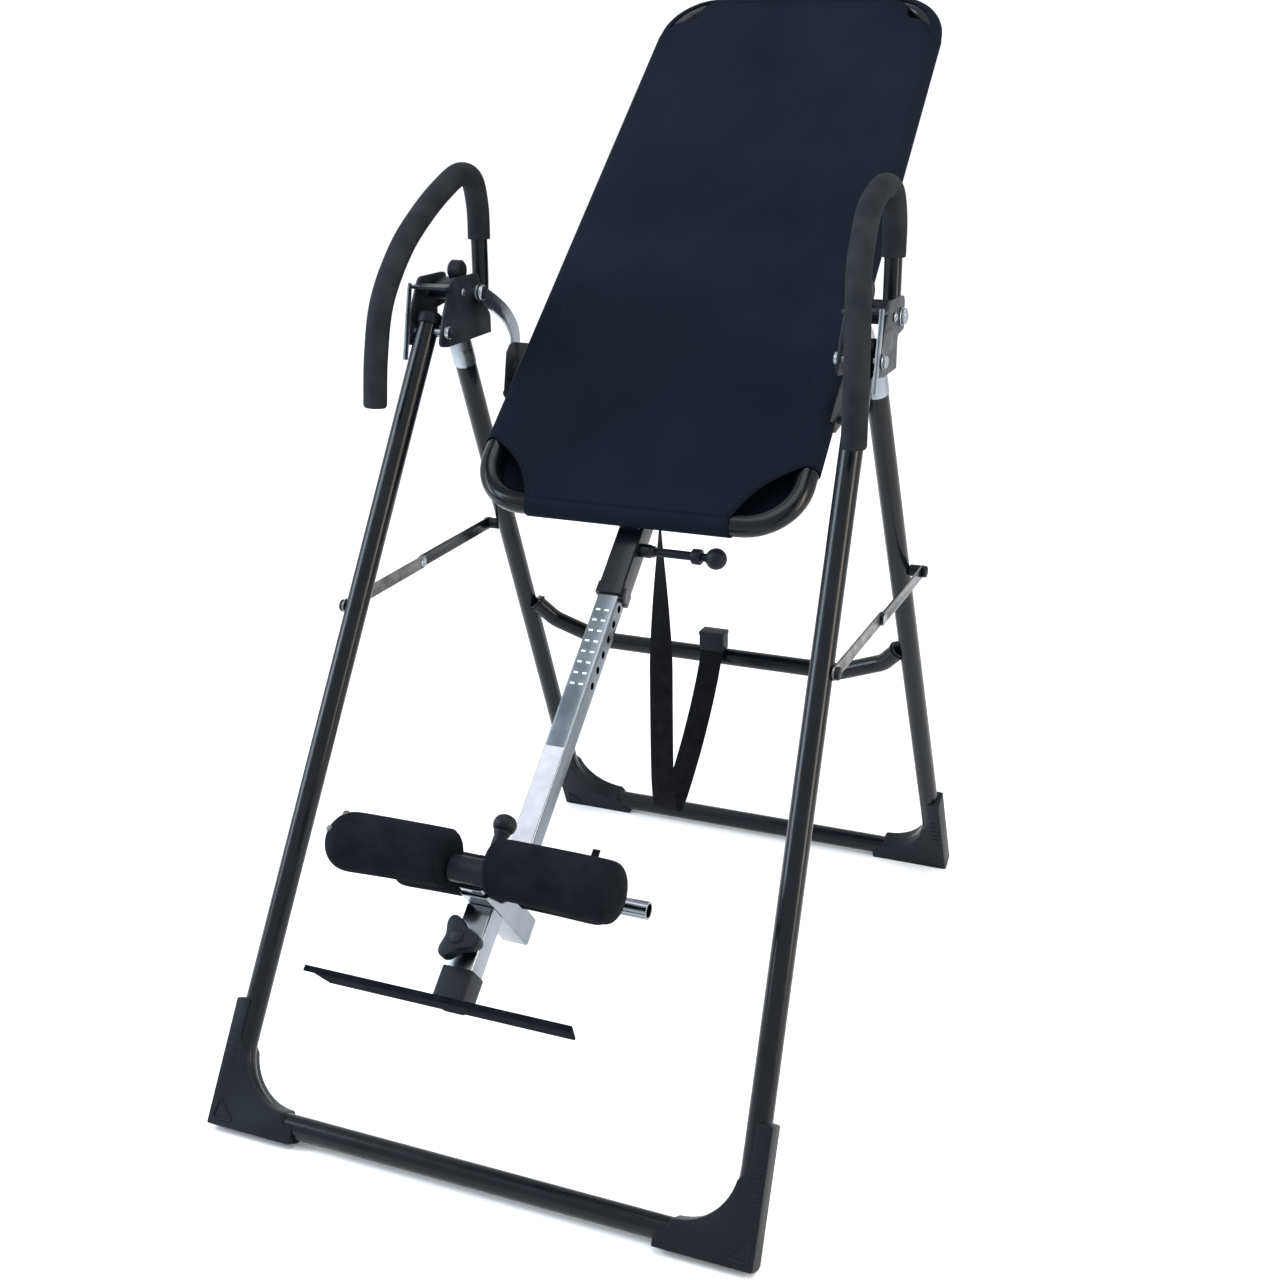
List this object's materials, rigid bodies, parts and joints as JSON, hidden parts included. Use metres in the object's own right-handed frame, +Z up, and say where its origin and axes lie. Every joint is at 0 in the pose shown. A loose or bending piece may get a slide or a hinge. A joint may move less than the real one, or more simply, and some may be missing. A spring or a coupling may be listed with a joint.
{
  "type": "inversion table",
  "caption": "Folding inversion table: black A-frame, tilting fabric bed, chrome height shaft with ankle clamp, looped foam hand rails and a safety strap.",
  "frame": {"origin": "on the floor, under the middle of the object's bounding box", "axes": "+Z up, +Y towards the head end of the bed (the back), +X to the right as seen from the foot end"},
  "size_m": [0.794, 1.4186, 1.4498],
  "materials": {
    "frame_black": "gloss",
    "chrome": "polished",
    "zinc": "satin",
    "plastic_black": "satin",
    "grip_foam": "matte",
    "bed_fabric": "matte",
    "pad_fabric": "matte",
    "webbing": "matte"
  },
  "bodies": {
    "rear_frame": {"rear_frame_tube": "frame_black", "rear_crossbar": "frame_black", "strap_buckle": "plastic_black", "safety_strap": "webbing", "rear_foot_left": "plastic_black", "hinge_bracket_left": "zinc", "pivot_bolt_left": "zinc", "fold_bolt_left": "zinc", "hook_pin_left": "zinc", "handle_left": "frame_black", "handle_grip_left": "grip_foam", "strut_rear_bolt_left": "plastic_black", "rear_foot_right": "plastic_black", "hinge_bracket_right": "zinc", "pivot_bolt_right": "zinc", "fold_bolt_right": "zinc", "hook_pin_right": "zinc", "handle_right": "frame_black", "handle_grip_right": "grip_foam", "strut_rear_bolt_right": "plastic_black"},
    "front_frame": {"front_frame_tube": "frame_black", "front_foot_left": "plastic_black", "front_foot_right": "plastic_black"},
    "bed": {"bed_frame_tube": "frame_black", "bed_cover": "bed_fabric", "shaft_receiver": "frame_black", "bed_cradle_tube": "frame_black", "strap_loop": "zinc", "height_pin_bush": "frame_black", "hinge_arm_left": "zinc", "arm_bracket_left": "frame_black", "hinge_arm_right": "zinc", "arm_bracket_right": "frame_black"},
    "height_shaft": {"main_shaft": "chrome", "ankle_sleeve": "chrome", "rear_axle": "chrome", "foot_post_sleeve": "chrome", "foot_post_collar": "plastic_black", "clamp_pin_bush": "zinc", "rear_ankle_pad_left": "pad_fabric", "rear_ankle_pad_right": "pad_fabric"},
    "ankle_clamp": {"clamp_tube": "chrome", "clamp_hub": "plastic_black", "front_axle": "chrome", "front_ankle_pad_left": "pad_fabric", "front_ankle_pad_right": "pad_fabric"},
    "clamp_pull_pin": {"clamp_pin": "plastic_black"},
    "foot_rest": {"foot_plate": "frame_black"},
    "foot_clamp_knob": {"foot_knob": "plastic_black"},
    "height_lock_pin": {"height_pin": "plastic_black"},
    "lock_hook_left": {"lock_hook_left": "plastic_black"},
    "strut_rear_left": {"strut_rear_link_left": "frame_black", "strut_mid_rivet_left": "zinc"},
    "strut_front_left": {"strut_front_link_left": "frame_black", "strut_front_bolt_left": "plastic_black"},
    "lock_hook_right": {"lock_hook_right": "plastic_black"},
    "strut_rear_right": {"strut_rear_link_right": "frame_black", "strut_mid_rivet_right": "zinc"},
    "strut_front_right": {"strut_front_link_right": "frame_black", "strut_front_bolt_right": "plastic_black"}
  },
  "joints": [
    {"name": "front_fold", "type": "hinge", "parent": "rear_frame", "child": "front_frame", "pos_m": [0, -0.0706, 1], "axis": [1, 0, 0], "range_deg": [0, 54]},
    {"name": "bed_tilt", "type": "hinge", "parent": "rear_frame", "child": "bed", "pos_m": [0, 0.0194, 1.045], "axis": [1, 0, 0], "range_deg": [-92, 46], "deforming": ["safety_strap"]},
    {"name": "height_slide", "type": "slide", "parent": "bed", "child": "height_shaft", "axis": [0, 0.7638, 0.6455], "range_m": [0, 0.2]},
    {"name": "ankle_clamp_slide", "type": "slide", "parent": "height_shaft", "child": "ankle_clamp", "axis": [0, -0.6455, 0.7638], "range_m": [0, 0.08]},
    {"name": "clamp_pin_pull", "type": "slide", "parent": "height_shaft", "child": "clamp_pull_pin", "axis": [0, 0.7638, 0.6455], "range_m": [0, 0.01], "stiffness_N_per_m": 300},
    {"name": "foot_plate_slide", "type": "slide", "parent": "height_shaft", "child": "foot_rest", "axis": [0, -0.7638, -0.6455], "range_m": [0, 0.06]},
    {"name": "foot_knob_turn", "type": "hinge", "parent": "height_shaft", "child": "foot_clamp_knob", "pos_m": [0, -0.63531, 0.36342], "axis": [0, -0.6455, 0.7638], "continuous": true},
    {"name": "height_pin_pull", "type": "slide", "parent": "bed", "child": "height_lock_pin", "axis": [1, 0, 0], "range_m": [0, 0.012], "stiffness_N_per_m": 600},
    {"name": "lock_hook_left_lift", "type": "hinge", "parent": "rear_frame", "child": "lock_hook_left", "pos_m": [-0.325, -0.0166, 1.05], "axis": [1, 0, 0], "range_deg": [0, 50]},
    {"name": "strut_rear_left_turn", "type": "hinge", "parent": "rear_frame", "child": "strut_rear_left", "pos_m": [-0.366, 0.1654, 0.64], "axis": [1, 0, 0], "range_deg": [-59.99, 1]},
    {"name": "strut_front_left_turn", "type": "hinge", "parent": "strut_rear_left", "child": "strut_front_left", "pos_m": [-0.364, -0.0606, 0.64], "axis": [1, 0, 0], "range_deg": [-1, 162.32]},
    {"name": "lock_hook_right_lift", "type": "hinge", "parent": "rear_frame", "child": "lock_hook_right", "pos_m": [0.325, -0.0166, 1.05], "axis": [1, 0, 0], "range_deg": [0, 50]},
    {"name": "strut_rear_right_turn", "type": "hinge", "parent": "rear_frame", "child": "strut_rear_right", "pos_m": [0.366, 0.1654, 0.64], "axis": [1, 0, 0], "range_deg": [-59.99, 1]},
    {"name": "strut_front_right_turn", "type": "hinge", "parent": "strut_rear_right", "child": "strut_front_right", "pos_m": [0.364, -0.0606, 0.64], "axis": [1, 0, 0], "range_deg": [-1, 162.32]}
  ],
  "couplings": [
    {"joint": "strut_rear_left_turn", "follows": "front_fold", "ratio": -1.0924},
    {"joint": "strut_front_left_turn", "follows": "front_fold", "ratio": 2.9873},
    {"joint": "strut_rear_right_turn", "follows": "front_fold", "ratio": -1.0924},
    {"joint": "strut_front_right_turn", "follows": "front_fold", "ratio": 2.9873}
  ]
}
